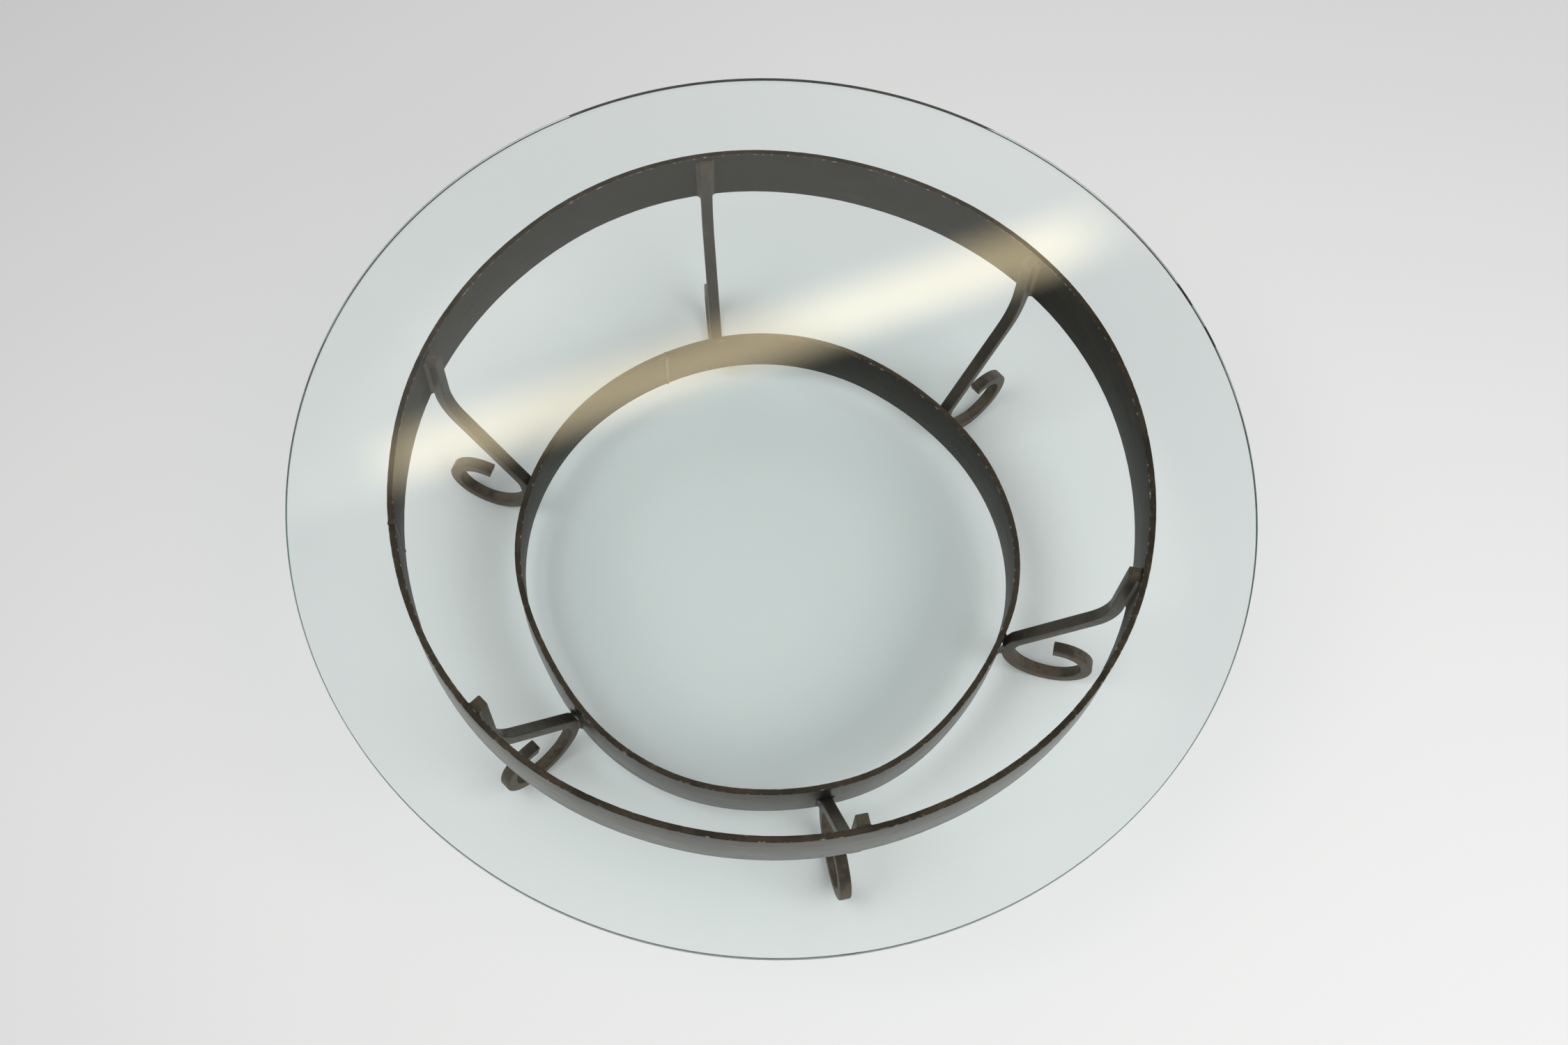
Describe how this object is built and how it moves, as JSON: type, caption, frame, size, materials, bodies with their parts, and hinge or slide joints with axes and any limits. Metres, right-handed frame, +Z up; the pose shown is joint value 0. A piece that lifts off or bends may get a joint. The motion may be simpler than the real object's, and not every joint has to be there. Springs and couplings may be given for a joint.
{
  "type": "coffee table",
  "caption": "Low round coffee table: a loose glass disc lies on a hoop of flat iron bar, carried by square-bar legs that end in scroll feet and are tied by a lower hoop.",
  "frame": {"origin": "on the floor, under the middle of the glass", "axes": "+Z is up; +X runs out over leg 1; legs are numbered anticlockwise seen from above"},
  "size_m": [1.1998, 1.2, 0.41],
  "materials": {
    "clear_glass": "clear float glass, polished, with a flat polished rim and a slight green tint at the edge",
    "blackened_iron": "mild steel bar, blackened and waxed, dark grey-brown with paler worn edges and a little brown rust at the scroll ends",
    "weld_metal": "dressed weld beads, blackened with the bar and browner than it"
  },
  "bodies": {
    "frame": {"upper_ring": "blackened_iron", "lower_ring": "blackened_iron", "upper_ring_seam": "weld_metal", "lower_ring_seam": "weld_metal", "leg_1": "blackened_iron", "leg_1_upper_weld": "weld_metal", "leg_1_lower_weld": "weld_metal", "leg_2": "blackened_iron", "leg_2_upper_weld": "weld_metal", "leg_2_lower_weld": "weld_metal", "leg_3": "blackened_iron", "leg_3_upper_weld": "weld_metal", "leg_3_lower_weld": "weld_metal", "leg_4": "blackened_iron", "leg_4_upper_weld": "weld_metal", "leg_4_lower_weld": "weld_metal", "leg_5": "blackened_iron", "leg_5_upper_weld": "weld_metal", "leg_5_lower_weld": "weld_metal", "leg_6": "blackened_iron", "leg_6_upper_weld": "weld_metal", "leg_6_lower_weld": "weld_metal"},
    "glass": {"glass_top": "clear_glass"}
  },
  "joints": [
    {"name": "glass_lift", "type": "slide", "parent": "frame", "child": "glass", "axis": [0, 0, 1], "range_m": [0, 0.2]}
  ]
}
